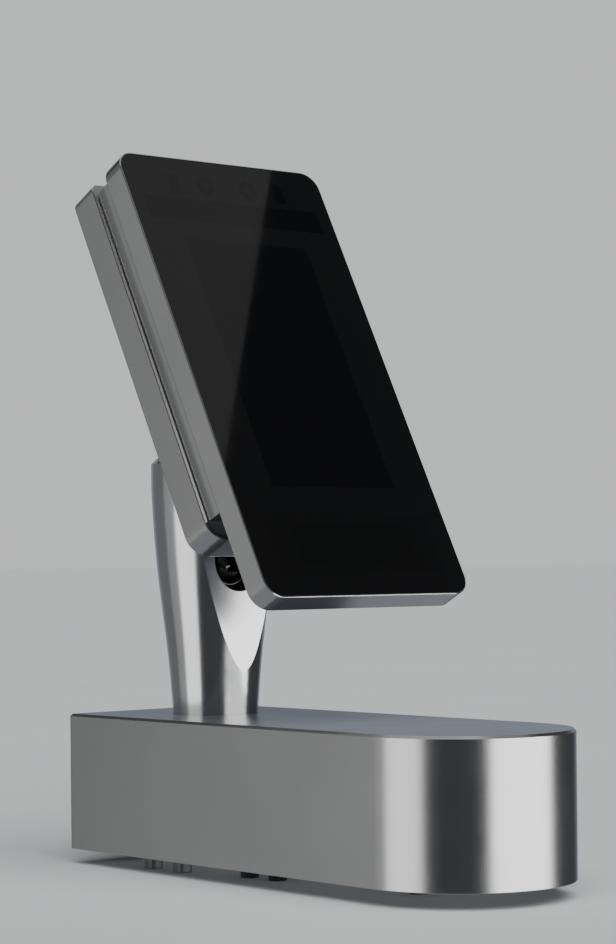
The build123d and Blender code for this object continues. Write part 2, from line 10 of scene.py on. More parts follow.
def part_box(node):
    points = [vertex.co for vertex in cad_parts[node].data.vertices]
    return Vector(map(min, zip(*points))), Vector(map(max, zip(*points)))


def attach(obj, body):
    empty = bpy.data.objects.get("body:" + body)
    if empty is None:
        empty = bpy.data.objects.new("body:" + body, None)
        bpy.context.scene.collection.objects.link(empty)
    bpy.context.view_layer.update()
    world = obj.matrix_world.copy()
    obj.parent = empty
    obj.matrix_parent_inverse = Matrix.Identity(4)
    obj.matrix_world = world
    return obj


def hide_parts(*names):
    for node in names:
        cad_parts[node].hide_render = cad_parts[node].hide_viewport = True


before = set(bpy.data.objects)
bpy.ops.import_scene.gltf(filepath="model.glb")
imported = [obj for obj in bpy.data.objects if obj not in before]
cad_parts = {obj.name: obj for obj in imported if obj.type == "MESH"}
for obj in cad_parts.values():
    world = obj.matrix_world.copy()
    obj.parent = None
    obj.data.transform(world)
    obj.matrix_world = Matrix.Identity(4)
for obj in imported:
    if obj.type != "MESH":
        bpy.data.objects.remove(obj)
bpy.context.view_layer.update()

bl_info = {
    "name": "Charging Kiosk",
    "version": (1, 0, 0),
    "blender": (4, 5, 0),
    "location": "View3D > Sidebar > Kiosk",
    "description": "Finishes a counter-top charging kiosk and sets it in a plain studio",
    "category": "Object",
}

MM = 0.001

# Where the knuckle turns and how far the head leans, which place everything on the head.
PIVOT = Vector((0.0, 0.0918115, 0.1682978))
HEAD_LEAN = math.radians(27.6)
PIVOT_BEHIND_GLASS = 0.1044
PIVOT_ABOVE_EDGE = 0.0733
HEAD_TURN = Matrix.Rotation(-HEAD_LEAN, 4, "X")
GLASS_EDGE = Matrix.Translation((0.0, -PIVOT_BEHIND_GLASS, -PIVOT_ABOVE_EDGE))
HEAD_FRAME = Matrix.Translation(PIVOT) @ HEAD_TURN @ GLASS_EDGE
REAR_FACE_Y = 0.15675
SOCKET_Z = 0.0199

# Windows in the print of the cover glass, in millimetres: across from the middle, half width,
# up from the glass's lower edge, half height.
SCREEN_WINDOW = (0.0, 43.0, 140.8, 77.05)
LIGHT_BAR = (0.0, 61.5, 236.8, 7.2)
READER_PATCH = (0.0, 57.0, 30.0, 18.0)
SCAN_PATCH = (0.0, 40.0, 30.0, 11.0)
LAMP_WINDOW = (37.5, 3.4, 253.8, 6.2)
LENS_PLACE = (15.2, 253.8)
LENS_RADIUS = 6.2
# Radius of the lighter bluish disc at each lens's middle, a painted reflection of the lens coating.
LENS_GLINT_RADIUS = 2.6
WINDOW_EDGE = 0.2
DISC_EDGE = 0.1

# Screws, in millimetres. On the head: across, behind the glass, up. Under the base: across, along, height.
COVER_SCREWS = [(side * 62.0, 46.8, up) for side in (-1, 1) for up in (66.0, 156.0, 246.0)]
FLANGE_SCREWS = [(side * 11.5, 50.8, 73.3 + rise * 11.5) for side in (-1, 1) for rise in (-1, 1)]
PLATE_SCREWS = [(side * 51.5, along, 9.4) for side in (-1, 1) for along in (140.0, 25.0, -90.0)]
FEET = [(side * across, along, 0.0) for side in (-1, 1)
        for across, along in ((27.5, 35.6), (25.0, 15.4), (9.0, -76.0))]

# Panels that shine in the gloss: name, azimuth in degrees, distance, height, width, tall, power, tint.
WHITE = (1.0, 1.0, 1.0)
PANELS = (
    ("left_softbox", 170.0, 2.2, 0.2, 1.6, 2.2, 22.0, WHITE),
    ("side_panel", 136.0, 2.4, 0.2, 1.0, 2.2, 2.3, WHITE),
    ("side_fill", 100.0, 2.4, 0.2, 2.0, 2.2, 1.8, WHITE),
    ("front_softbox", -71.0, 1.9, 0.2, 2.4, 2.2, 60.0, WHITE),
    ("back_panel", 50.0, 4.0, 0.5, 4.6, 3.0, 12.0, (0.72, 0.82, 1.0)),
    ("under_panel", 0.0, 0.01, -1.2, 5.0, 5.0, 22.0, (0.86, 0.91, 1.0)),
    ("top_softbox", 120.0, 0.6, 2.4, 2.6, 2.6, 12.0, WHITE),
)
PANELS_OFF_GLASS = ("left_softbox", "front_softbox")
PANEL_AIM = Vector((0.0, 0.0, 0.2))
FLOOR_RADIUS = 40.0


# ---- settings --------------------------------------------------------------------------
def colour(label, text, value):
    return bpy.props.FloatVectorProperty(name=label, description=text, subtype="COLOR", size=3,
                                         min=0.0, max=1.0, default=value)


def length(label, text, value):
    return bpy.props.FloatProperty(name=label, description=text, default=value, min=0.0, unit="LENGTH")


def factor(label, text, value):
    return bpy.props.FloatProperty(name=label, description=text, default=value, min=0.0, max=1.0,
                                   subtype="FACTOR")


class KioskFinishSettings(bpy.types.PropertyGroup):
    """Colours and gloss of the kiosk's surfaces."""

    shell: colour("Base metal", "Blasted aluminium of the base", (0.475, 0.475, 0.470))
    head: colour("Head metal", "Blasted aluminium of the head's housings", (0.475, 0.475, 0.470))
    post: colour("Post metal", "Satin aluminium of the post", (0.55, 0.552, 0.557))
    deck: colour("Top", "Flush surface that a phone lies on", (0.17, 0.182, 0.215))
    heel: colour("Heel blocks", "Light grey nylon under the base", (0.20, 0.205, 0.205))
    glass: colour("Glass", "Black print behind the cover glass", (0.0042, 0.0042, 0.0045))
    window: colour("Screen window", "Unlit screen seen through the cover glass", (0.0012, 0.0012, 0.0015))
    shell_gloss: factor("Metal roughness", "Roughness of the blasted metal", 0.24)
    post_gloss: factor("Post roughness", "Roughness of the post", 0.18)


class KioskSizeSettings(bpy.types.PropertyGroup):
    """Sizes of the small pieces."""

    screw_head: length("Screw head radius", "Radius of the cover screws' heads", 2.9 * MM)
    screw_depth: length("Screw head height", "Height of the cover screws' heads", 1.6 * MM)
    foot_radius: length("Foot radius", "Radius of a rubber foot", 4.9 * MM)
    foot_height: length("Foot height", "Height of a rubber foot", 9.4 * MM)
    button_radius: length("Button radius", "Radius of the power button", 4.0 * MM)


class KioskStageSettings(bpy.types.PropertyGroup):
    """Floor, lights and camera."""

    floor: colour("Floor", "Plain pale floor", (0.72, 0.73, 0.74))
    camera_place: bpy.props.FloatVectorProperty(name="Camera place", description="Where the camera stands",
                                                default=(-0.9040, -1.0261, 0.1720),
                                                subtype="TRANSLATION", unit="LENGTH")
    camera_turn: bpy.props.FloatProperty(name="Camera heading", description="Heading of the level camera",
                                         default=math.radians(-40.911), subtype="ANGLE", unit="ROTATION")
    camera_roll: bpy.props.FloatProperty(name="Camera roll", description="Small roll of the camera",
                                         default=math.radians(-0.559), subtype="ANGLE", unit="ROTATION")
    lens: bpy.props.FloatProperty(name="Lens", description="Focal length in millimetres", default=97.96,
                                  min=1.0)
    rise: bpy.props.FloatProperty(name="Lens rise", description="Vertical shift of the lens", default=0.0887)


# ---- material makers -------------------------------------------------------------------
class Finish:
    """A node material that is built up link by link around one Principled surface."""

    def __init__(self, name, base, rough, metal=0.0, **sockets):
        self.material = bpy.data.materials.new(name)
        self.material.use_nodes = True
        self.tree = self.material.node_tree
        self.surface = self.tree.nodes["Principled BSDF"]
        self.set(self.surface, {"Base Color": (*base, 1.0), "Roughness": rough, "Metallic": metal, **sockets})
        self.place = self.tree.nodes.new("ShaderNodeTexCoord").outputs["Object"]

    def set(self, node, values):
        for key, value in values.items():
            node.inputs[key].default_value = value

    def node(self, kind, values=None, **settings):
        made = self.tree.nodes.new(kind)
        for key, value in settings.items():
            setattr(made, key, value)
        self.set(made, values or {})
        return made

    def link(self, output, socket):
        self.tree.links.new(output, socket)

    def stretched(self, scale=(1.0, 1.0, 1.0), move=(0.0, 0.0, 0.0), turn=(0.0, 0.0, 0.0)):
        """Object coordinates moved, turned and stretched."""
        mapping = self.node("ShaderNodeMapping", {"Scale": scale, "Location": move, "Rotation": turn})
        self.link(self.place, mapping.inputs["Vector"])
        return mapping.outputs["Vector"]

    def noise(self, scale, detail=3.0, where=None, roughness=0.5):
        made = self.node("ShaderNodeTexNoise", {"Scale": scale, "Detail": detail, "Roughness": roughness})
        self.link(where or self.place, made.inputs["Vector"])
        return made.outputs["Fac"]

    def ramp(self, value, low, high, start=0.0, end=1.0):
        """value rescaled from low..high to start..end."""
        made = self.node("ShaderNodeMapRange",
                         {"From Min": low, "From Max": high, "To Min": start, "To Max": end})
        self.link(value, made.inputs["Value"])
        return made.outputs["Result"]

    def math(self, operation, first, second=None):
        made = self.node("ShaderNodeMath", operation=operation)
        for socket, value in zip(made.inputs, (first, second)):
            if value is None:
                continue
            if isinstance(value, (int, float)):
                socket.default_value = value
            else:
                self.link(value, socket)
        return made.outputs["Value"]

    def mix(self, share, first, second):
        """Colour that goes from first to second as share goes from 0 to 1."""
        made = self.node("ShaderNodeMix", data_type="RGBA")
        self.link(share, made.inputs[0])
        for socket, value in ((made.inputs[6], first), (made.inputs[7], second)):
            if isinstance(value, tuple):
                socket.default_value = (*value, 1.0)
            else:
                self.link(value, socket)
        return made.outputs[2]

    def bump(self, height, strength, distance):
        made = self.node("ShaderNodeBump", {"Strength": strength, "Distance": distance})
        self.link(height, made.inputs["Height"])
        if self.surface.inputs["Normal"].is_linked:
            self.link(self.surface.inputs["Normal"].links[0].from_socket, made.inputs["Normal"])
        self.link(made.outputs["Normal"], self.surface.inputs["Normal"])

    def paint(self, output, socket="Base Color"):
        self.link(output, self.surface.inputs[socket])


def tint(base, gain):
    return tuple(min(1.0, channel * gain) for channel in base)


def blasted_metal(name, base, rough, grain=2600.0):
    """Fine bead-blasted, anodised aluminium with faint clouding and handling marks."""
    made = Finish(name, base, rough, 1.0)
    cloud = made.ramp(made.noise(9.0, 4.0), 0.3, 0.7)
    grains = made.noise(grain, 2.0)
    tone = made.mix(cloud, tint(base, 0.93), tint(base, 1.07))
    made.paint(made.mix(made.ramp(grains, 0.3, 0.7, 0.0, 0.35), tone, tint(base, 1.25)))
    smudge = made.ramp(made.noise(24.0, 5.0), 0.35, 0.75, -0.012, 0.024)
    made.paint(made.math("ADD", smudge, rough), "Roughness")
    made.bump(grains, 0.10, 0.05 * MM)
    return made.material


def turned_metal(name, base, rough, along=(1.0, 1.0, 60.0)):
    """Metal with fine lines from turning or brushing; `along` squeezes the lines."""
    made = Finish(name, base, rough, 1.0)
    lines = made.noise(160.0, 4.0, made.stretched(along))
    made.paint(made.mix(made.ramp(lines, 0.3, 0.7), tint(base, 0.88), tint(base, 1.12)))
    made.paint(made.ramp(lines, 0.25, 0.75, rough - 0.05, rough + 0.08), "Roughness")
    made.bump(lines, 0.06, 0.03 * MM)
    return made.material


def moulded(name, base, rough, texture=1500.0, depth=0.25):
    """Moulded plastic with a fine spark-eroded texture."""
    made = Finish(name, base, rough)
    grain = made.noise(texture, 4.0, roughness=0.6)
    made.paint(made.mix(made.ramp(made.noise(30.0, 3.0), 0.3, 0.7), tint(base, 0.9), tint(base, 1.12)))
    made.paint(made.ramp(grain, 0.2, 0.8, rough - 0.06, rough + 0.08), "Roughness")
    made.bump(grain, depth, 0.06 * MM)
    return made.material


def gloss_black(name, base):
    """Polished black with faint handling marks in its gloss."""
    made = Finish(name, base, 0.09, **{"Coat Weight": 0.6, "Coat Roughness": 0.04})
    marks = made.noise(55.0, 6.0)
    made.paint(made.mix(made.ramp(made.noise(14.0, 2.0), 0.3, 0.7), tint(base, 0.8), tint(base, 1.3)))
    made.paint(made.ramp(marks, 0.35, 0.8, 0.07, 0.17), "Roughness")
    made.bump(made.noise(420.0, 2.0), 0.02, 0.05 * MM)
    return made.material


def rubber(name, base):
    made = Finish(name, base, 0.78)
    made.paint(made.mix(made.ramp(made.noise(90.0, 4.0), 0.3, 0.7), tint(base, 0.8), tint(base, 1.5)))
    made.paint(made.ramp(made.noise(300.0, 3.0), 0.3, 0.7, 0.7, 0.88), "Roughness")
    made.bump(made.noise(2400.0, 3.0), 0.3, 0.05 * MM)
    return made.material


def board_print(name, base, track):
    """Lacquered circuit board with tracks and plated holes."""
    made = Finish(name, base, 0.3, **{"Coat Weight": 0.4, "Coat Roughness": 0.15})
    cells = made.node("ShaderNodeTexVoronoi", {"Scale": 260.0, "Randomness": 0.35}, distance="CHEBYCHEV")
    made.link(made.place, cells.inputs["Vector"])
    lines = made.math("LESS_THAN", made.math("PINGPONG", cells.outputs["Distance"], 0.16), 0.035)
    made.paint(made.mix(lines, base, track))
    made.bump(lines, 0.3, 0.04 * MM)
    return made.material


def wound_copper(name, base):
    """Enamelled wire wound in a flat spiral about the upright axis at the coil's middle."""
    made = Finish(name, base, 0.32, 1.0)
    turns = made.node("ShaderNodeTexWave", {"Scale": 260.0, "Distortion": 0.0}, wave_type="RINGS",
                      rings_direction="Z")
    low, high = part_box("charger_coil")
    middle = [-(a + b) / 2 for a, b in zip(low, high)]
    made.link(made.stretched(move=middle), turns.inputs["Vector"])
    made.paint(made.mix(turns.outputs["Fac"], tint(base, 0.45), base))
    made.bump(turns.outputs["Fac"], 0.6, 0.15 * MM)
    return made.material


def head_depth_vector(made):
    """Object coordinates in the head's own frame: X across, Y behind the glass, Z up from its edge."""
    inverse = HEAD_FRAME.inverted()
    return made.stretched(move=tuple(inverse.translation), turn=tuple(inverse.to_euler()))


def cover_glass_finish(name, glass, window):
    """Black-printed cover glass with darker windows for screen, light bar and sensors, and a painted bluish
    reflection at the middle of each lens.
    """
    made = Finish(name, glass, 0.035,
                  **{"Specular IOR Level": 0.42, "Coat Weight": 0.25, "Coat Roughness": 0.02})
    upright = made.node("ShaderNodeSeparateXYZ")
    made.link(head_depth_vector(made), upright.inputs["Vector"])
    across = made.math("ABSOLUTE", upright.outputs["X"])
    up = upright.outputs["Z"]

    def window_mask(x, half_width, middle, half_height):
        """1 inside a rectangle, with a soft edge."""
        side = made.math("SUBTRACT", made.math("ABSOLUTE", made.math("SUBTRACT", across, x * MM)),
                         half_width * MM)
        top = made.math("SUBTRACT", made.math("ABSOLUTE", made.math("SUBTRACT", up, middle * MM)),
                        half_height * MM)
        edge = made.math("MAXIMUM", side, top)
        return made.ramp(edge, WINDOW_EDGE * MM, -WINDOW_EDGE * MM)

    def disc_mask(radius):
        """1 inside a disc at each camera, with a soft edge."""
        side = made.math("SUBTRACT", across, LENS_PLACE[0] * MM)
        top = made.math("SUBTRACT", up, LENS_PLACE[1] * MM)
        reach = made.math("SQRT", made.math("ADD", made.math("MULTIPLY", side, side),
                                            made.math("MULTIPLY", top, top)))
        return made.ramp(reach, (radius + DISC_EDGE) * MM, (radius - DISC_EDGE) * MM)

    screen, bar, reader, scan, lamp = (
        window_mask(*window) for window in (SCREEN_WINDOW, LIGHT_BAR, READER_PATCH, SCAN_PATCH, LAMP_WINDOW))
    lens = disc_mask(LENS_RADIUS)
    lens_glint_mask = disc_mask(LENS_GLINT_RADIUS)
    tone = made.mix(made.ramp(made.noise(7.0, 2.0), 0.3, 0.7), tint(glass, 0.85), tint(glass, 1.2))
    tone = made.mix(screen, tone, window)
    tone = made.mix(bar, tone, tint(window, 0.75))
    tone = made.mix(reader, tone, tint(glass, 0.8))
    tone = made.mix(scan, tone, tint(glass, 0.6))
    tone = made.mix(made.math("MAXIMUM", lens, lamp), tone, (0.0007, 0.0007, 0.0009))
    # Painted reflection: a lighter, bluish disc at the middle of each lens stands in for the gleam of its
    # coating.
    tone = made.mix(lens_glint_mask, tone, (0.0034, 0.0028, 0.0048))
    made.paint(tone)
    made.paint(made.ramp(made.noise(38.0, 6.0, roughness=0.65), 0.45, 0.85, 0.03, 0.075), "Roughness")
    return made.material


# ---- mesh helpers ----------------------------------------------------------------------
def deselect():
    if bpy.context.object and bpy.context.object.mode != "OBJECT":
        bpy.ops.object.mode_set(mode="OBJECT")
    bpy.ops.object.select_all(action="DESELECT")


def fresh_cylinder(radius, depth, location, sides=48):
    deselect()
    bpy.ops.mesh.primitive_cylinder_add(vertices=sides, radius=radius, depth=depth, location=location)
    return bpy.context.object


def edit(obj):
    """Enter edit mode, picking faces, with nothing selected."""
    bpy.context.view_layer.objects.active = obj
    bpy.ops.object.mode_set(mode="EDIT")
    bpy.ops.mesh.select_mode(type="FACE")
    bpy.ops.mesh.select_all(action="DESELECT")


def pick_faces(obj, test):
    mesh = bmesh.from_edit_mesh(obj.data)
    for face in mesh.faces:
        face.select_set(test(face))
    bmesh.update_edit_mesh(obj.data)


def top_face(face):
    return face.normal.z > 0.9


def leave():
    bpy.ops.object.mode_set(mode="OBJECT")


def bevel(obj, width, segments=3, angle=math.radians(35)):
    modifier = obj.modifiers.new("edge", "BEVEL")
    modifier.width = width
    modifier.segments = segments
    modifier.limit_method = "ANGLE"
    modifier.angle_limit = angle
    bpy.context.view_layer.objects.active = obj
    bpy.ops.object.modifier_apply(modifier=modifier.name)


def settle(obj, matrix=None):
    """Place the piece, then leave its object at the origin, unturned and unscaled."""
    deselect()
    obj.select_set(True)
    bpy.context.view_layer.objects.active = obj
    if matrix is not None:
        obj.matrix_world = matrix @ obj.matrix_world
    bpy.ops.object.transform_apply(location=True, rotation=True, scale=True)
    bpy.ops.object.shade_smooth_by_angle(angle=math.radians(32))
    return obj


def copies(obj, places, name):
    """One piece made of copies of obj at each place; obj itself is used up."""
    made = []
    for place in places:
        twin = obj.copy()
        twin.data = obj.data.copy()
        bpy.context.collection.objects.link(twin)
        twin.matrix_world = place @ obj.matrix_world
        made.append(twin)
    bpy.data.objects.remove(obj)
    deselect()
    for twin in made:
        twin.select_set(True)
    bpy.context.view_layer.objects.active = made[0]
    bpy.ops.object.join()
    joined = bpy.context.object
    joined.name = name
    return settle(joined)


def dress(node, material):
    """Give a CAD node its finish."""
    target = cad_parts[node]
    target.data.materials.clear()
    target.data.materials.append(material)


def millimetres(place):
    return Matrix.Translation([value * MM for value in place])


def hand_over(obj, name, material, body, slot_name, *nodes):
    """Name, finish and ride a new piece."""
    obj.name = name
    obj.data.materials.clear()
    obj.data.materials.append(material)
    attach(obj, body)
    if nodes:
        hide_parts(*nodes)


def finish_settings():
    return bpy.context.scene.kiosk_finish


def size_settings():
    return bpy.context.scene.kiosk_sizes


def stage_settings():
    return bpy.context.scene.kiosk_stage


# ---- finishes of the CAD pieces --------------------------------------------------------
class KIOSK_OT_housing(bpy.types.Operator):
    """Finish the base wall and the housings of the head"""

    bl_idname = "kiosk.housing"
    bl_label = "Housings"

    def execute(self, context):
        settings = finish_settings()
        dress("base_shell", blasted_metal("Base metal", tuple(settings.shell), settings.shell_gloss))
        head = blasted_metal("Head metal", tuple(settings.head), settings.shell_gloss)
        rim = blasted_metal("Frame metal", tint(tuple(settings.head), 1.05), settings.shell_gloss - 0.06)
        dress("middle_housing", head)
        dress("rear_cover", head)
        dress("front_frame", rim)
        return {"FINISHED"}


class KIOSK_OT_top(bpy.types.Operator):
    """Finish the flush top surface"""

    bl_idname = "kiosk.top"
    bl_label = "Top"

    def execute(self, context):
        base = tuple(finish_settings().deck)
        made = Finish("Top laminate", base, 0.30, **{"Coat Weight": 0.35, "Coat Roughness": 0.22})
        made.paint(made.mix(made.ramp(made.noise(11.0, 4.0), 0.3, 0.7), tint(base, 0.96), tint(base, 1.04)))
        made.paint(made.ramp(made.noise(26.0, 4.0), 0.3, 0.8, 0.28, 0.35), "Roughness")
        made.bump(made.noise(2600.0, 2.0), 0.03, 0.02 * MM)
        dress("top_skin", made.material)
        return {"FINISHED"}


class KIOSK_OT_post(bpy.types.Operator):
    """Finish the post, its socket and the knuckle"""

    bl_idname = "kiosk.post"
    bl_label = "Post and knuckle"

    def execute(self, context):
        settings = finish_settings()
        dress("post", blasted_metal("Post metal", tuple(settings.post), settings.post_gloss, 3800.0))
        dress("socket_bezel", moulded("Socket plastic", (0.012, 0.012, 0.014), 0.35))
        dress("trim_ring", turned_metal("Ring metal", (0.17, 0.17, 0.175), 0.30))
        black = gloss_black("Knuckle black", (0.012, 0.012, 0.015))
        dress("knuckle", black)
        dress("arm", black)
        steel = turned_metal("Ground steel", (0.58, 0.58, 0.60), 0.24)
        for node in ("tilt_pin", "spindle"):
            dress(node, steel)
        milled = turned_metal("Milled aluminium", (0.50, 0.50, 0.52), 0.36, (60.0, 1.0, 1.0))
        for node in ("spindle_column", "post_base"):
            dress(node, milled)
        dress("thrust_washer", moulded("Washer nylon", (0.62, 0.61, 0.58), 0.45))
        return {"FINISHED"}


class KIOSK_OT_glass(bpy.types.Operator):
    """Finish the cover glass with its windows"""

    bl_idname = "kiosk.glass"
    bl_label = "Cover glass"

    def execute(self, context):
        settings = finish_settings()
        dress("cover_glass", cover_glass_finish("Cover glass", tuple(settings.glass), tuple(settings.window)))
        return {"FINISHED"}


class KIOSK_OT_insides(bpy.types.Operator):
    """Finish the boards, modules, plates and fixings inside"""

    bl_idname = "kiosk.insides"
    bl_label = "Insides"

    def execute(self, context):
        green = board_print("Board lacquer", (0.012, 0.085, 0.045), (0.05, 0.20, 0.09))
        for node in ("power_board", "charger_board", "main_board", "camera_board", "reader_board"):
            dress(node, green)
        dress("led_board", board_print("White board lacquer", (0.62, 0.62, 0.60), (0.48, 0.48, 0.44)))
        copper = wound_copper("Enamelled copper", (0.75, 0.36, 0.18))
        dress("charger_coil", copper)
        dress("reader_coil", turned_metal("Printed copper", (0.76, 0.40, 0.22), 0.30))
        chip = moulded("Component epoxy", (0.020, 0.020, 0.022), 0.48, 900.0)
        for node in ("power_parts", "board_parts", "power_switch", "speakers"):
            dress(node, chip)
        dress("fill_leds", moulded("Lamp phosphor", (0.80, 0.70, 0.32), 0.35, 700.0))
        dress("light_diffuser", moulded("Frosted acrylic", (0.74, 0.76, 0.78), 0.55))
        dress("lcd_panel", moulded("Screen tray", (0.055, 0.056, 0.060), 0.28, 800.0, 0.1))
        optics = gloss_black("Lens barrel", (0.010, 0.010, 0.012))
        for node in ("colour_camera", "infrared_camera", "dot_projector", "infrared_lamp"):
            dress(node, optics)
        plated = turned_metal("Zinc plate", (0.58, 0.58, 0.56), 0.34, (40.0, 1.0, 1.0))
        for node in ("bottom_plate", "arm_plate", "plate_screws", "fixing_nuts", "post_screws",
                     "column_screws", "arm_screws", "rear_screws", "frame_screws"):
            dress(node, plated)
        sheet = turned_metal("Folded aluminium", (0.55, 0.56, 0.58), 0.33, (1.0, 50.0, 50.0))
        for node in ("chassis_plate", "heat_sink"):
            dress(node, sheet)
        brass = turned_metal("Turned brass", (0.72, 0.54, 0.24), 0.28)
        for node in ("board_standoffs", "board_posts"):
            dress(node, brass)
        dress("charger_posts", moulded("Spacer nylon", (0.66, 0.66, 0.64), 0.5))
        dress("coil_holder", moulded("Holder plastic", (0.018, 0.018, 0.020), 0.45))
        dress("ferrite_disc", moulded("Ferrite", (0.032, 0.032, 0.036), 0.42, 700.0))
        dress("ballast", moulded("Cast iron", (0.075, 0.075, 0.080), 0.62, 500.0, 0.6))
        return {"FINISHED"}


class KIOSK_OT_sockets(bpy.types.Operator):
    """Finish the socket bay and add the contacts of the network port"""

    bl_idname = "kiosk.sockets"
    bl_label = "Sockets"

    def execute(self, context):
        black = moulded("Bay plastic", (0.022, 0.022, 0.024), 0.5, 1200.0, 0.35)
        dress("io_bay", black)
        dress("dc_inlet", moulded("Inlet plastic", (0.014, 0.014, 0.015), 0.34))
        can = turned_metal("Nickel can", (0.62, 0.61, 0.58), 0.26, (30.0, 1.0, 1.0))
        dress("lan_socket", can)
        dress("usb_socket", can)
        dress("heel_blocks", moulded("Heel nylon", tuple(finish_settings().heel), 0.42))
        low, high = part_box("lan_socket")
        middle = (low[0] + high[0]) / 2
        deselect()
        bpy.ops.mesh.primitive_cube_add(size=1.0, location=(0, 0, 0), scale=(0.4 * MM, 6.0 * MM, 0.25 * MM))
        wire = bpy.context.object
        bpy.ops.object.transform_apply(location=False, rotation=False, scale=True)
        edit(wire)
        pick_faces(wire, lambda face: face.normal.y > 0.9)
        bpy.ops.mesh.extrude_region_move(TRANSFORM_OT_translate={"value": (0, 1.6 * MM, -0.9 * MM)})
        leave()
        bevel(wire, 0.06 * MM, 2)
        pitch = 1.02 * MM
        places = [Matrix.Translation((middle + (i - 3.5) * pitch, REAR_FACE_Y - 18.0 * MM,
                                      SOCKET_Z + 2.6 * MM)) for i in range(8)]
        contacts = copies(wire, places, "lan_contacts")
        gold = turned_metal("Gold flash", (0.85, 0.62, 0.24), 0.2)
        hand_over(contacts, "lan_contacts", gold, "base", "brass")
        return {"FINISHED"}


# ---- small pieces modelled anew --------------------------------------------------------
def socket_screw(radius, height, shank_radius, shank_length):
    """Cap screw with its top face at z 0: chamfered head, hexagonal recess and shank."""
    screw = fresh_cylinder(radius, height, (0, 0, -height / 2), 48)
    edit(screw)
    pick_faces(screw, top_face)
    bpy.ops.mesh.inset(thickness=radius * 0.12)
    pick_faces(screw, lambda face: face.normal.z < -0.9)
    bpy.ops.mesh.inset(thickness=radius - shank_radius)
    bpy.ops.mesh.extrude_region_move(TRANSFORM_OT_translate={"value": (0, 0, height - shank_length)})
    leave()
    bevel(screw, radius * 0.10, 2, math.radians(60))
    key = fresh_cylinder(radius * 0.52, height * 1.2, (0, 0, 0), 6)
    cut = screw.modifiers.new("recess", "BOOLEAN")
    cut.operation = "DIFFERENCE"
    cut.object = key
    bpy.context.view_layer.objects.active = screw
    bpy.ops.object.modifier_apply(modifier=cut.name)
    bpy.data.objects.remove(key)
    return screw


class KIOSK_OT_screws(bpy.types.Operator):
    """Model the visible cap screws on the head and under the base"""

    bl_idname = "kiosk.screws"
    bl_label = "Screws"

    def execute(self, context):
        sizes = size_settings()
        black = turned_metal("Blackened steel", (0.11, 0.11, 0.115), 0.30)
        backward = Matrix.Rotation(math.radians(-90), 4, "X")
        downward = Matrix.Rotation(math.pi, 4, "X")
        rear = copies(socket_screw(sizes.screw_head, sizes.screw_depth, 1.5 * MM, 24.0 * MM),
                      [HEAD_FRAME @ millimetres(place) @ backward for place in COVER_SCREWS], "cover_screws")
        hand_over(rear, "cover_screws", black, "head", "plated_steel", "rear_screws")
        arm = copies(socket_screw(3.6 * MM, 2.2 * MM, 2.0 * MM, 13.0 * MM),
                     [HEAD_FRAME @ millimetres(place) @ backward for place in FLANGE_SCREWS], "flange_screws")
        hand_over(arm, "flange_screws", black, "head", "plated_steel", "arm_screws")
        under = copies(socket_screw(2.8 * MM, 1.2 * MM, 1.2 * MM, 10.0 * MM),
                       [millimetres(place) @ downward for place in PLATE_SCREWS], "base_plate_screws")
        hand_over(under, "base_plate_screws", black, "base", "plated_steel", "plate_screws")
        return {"FINISHED"}


class KIOSK_OT_feet(bpy.types.Operator):
    """Model the rubber feet with a grooved sole"""

    bl_idname = "kiosk.feet"
    bl_label = "Rubber feet"

    def execute(self, context):
        sizes = size_settings()
        foot = fresh_cylinder(sizes.foot_radius, sizes.foot_height, (0, 0, sizes.foot_height / 2), 48)
        edit(foot)
        pick_faces(foot, lambda face: face.normal.z < -0.9)
        bpy.ops.mesh.inset(thickness=1.5 * MM)
        bpy.ops.mesh.inset(thickness=0.7 * MM)
        pick_faces(foot, lambda face: face.normal.z < -0.9 and 2.6 * MM < face.calc_center_median().xy.length
                   < 3.2 * MM)
        bpy.ops.mesh.extrude_region_move(TRANSFORM_OT_translate={"value": (0, 0, 0.6 * MM)})
        leave()
        bevel(foot, 0.45 * MM, 3, math.radians(60))
        soles = copies(foot, [millimetres(place) for place in FEET], "sole_feet")
        hand_over(soles, "sole_feet", rubber("Foot rubber", (0.022, 0.022, 0.023)), "base", "foot_rubber",
                  "rubber_feet")
        return {"FINISHED"}


class KIOSK_OT_button(bpy.types.Operator):
    """Model the power button with its dished face"""

    bl_idname = "kiosk.button"
    bl_label = "Power button"

    def execute(self, context):
        radius = size_settings().button_radius
        low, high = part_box("power_button")
        depth = high[1] - low[1]
        button = fresh_cylinder(radius, depth, (0, 0, -depth / 2), 64)
        edit(button)
        pick_faces(button, top_face)
        bpy.ops.mesh.inset(thickness=radius * 0.22)
        bpy.ops.transform.translate(value=(0, 0, -0.25 * MM))
        bpy.ops.mesh.inset(thickness=radius * 0.35)
        bpy.ops.transform.translate(value=(0, 0, -0.2 * MM))
        pick_faces(button, lambda face: face.normal.z < -0.9)
        bpy.ops.mesh.inset(thickness=radius * 0.3)
        leave()
        bevel(button, 0.35 * MM, 4, math.radians(50))
        place = Matrix.Translation(((low[0] + high[0]) / 2, high[1], (low[2] + high[2]) / 2))
        settle(button, place @ Matrix.Rotation(math.radians(-90), 4, "X"))
        hand_over(button, "button_cap", moulded("Button plastic", (0.03, 0.03, 0.033), 0.3), "button",
                  "black_plastic", "power_button")
        return {"FINISHED"}


# ---- stage -----------------------------------------------------------------------------
def area_light(name, width, tall, power, tone=WHITE):
    """Rectangular light that shows in gloss alone."""
    data = bpy.data.lights.new(name, "AREA")
    data.shape = "RECTANGLE"
    data.size = width
    data.size_y = tall
    data.energy = power
    data.color = tone
    light = bpy.data.objects.new(name, data)
    bpy.context.collection.objects.link(light)
    light.visible_camera = False
    light.visible_diffuse = False
    return light


def softbox(name, azimuth, distance, height, width, tall, power, tone):
    """Panel on a circle round the kiosk, facing its middle."""
    light = area_light(name, width, tall, power, tone)
    angle = math.radians(azimuth)
    light.location = Vector((distance * math.cos(angle), distance * math.sin(angle), height))
    light.rotation_euler = (PANEL_AIM - light.location).to_track_quat("-Z", "Y").to_euler()


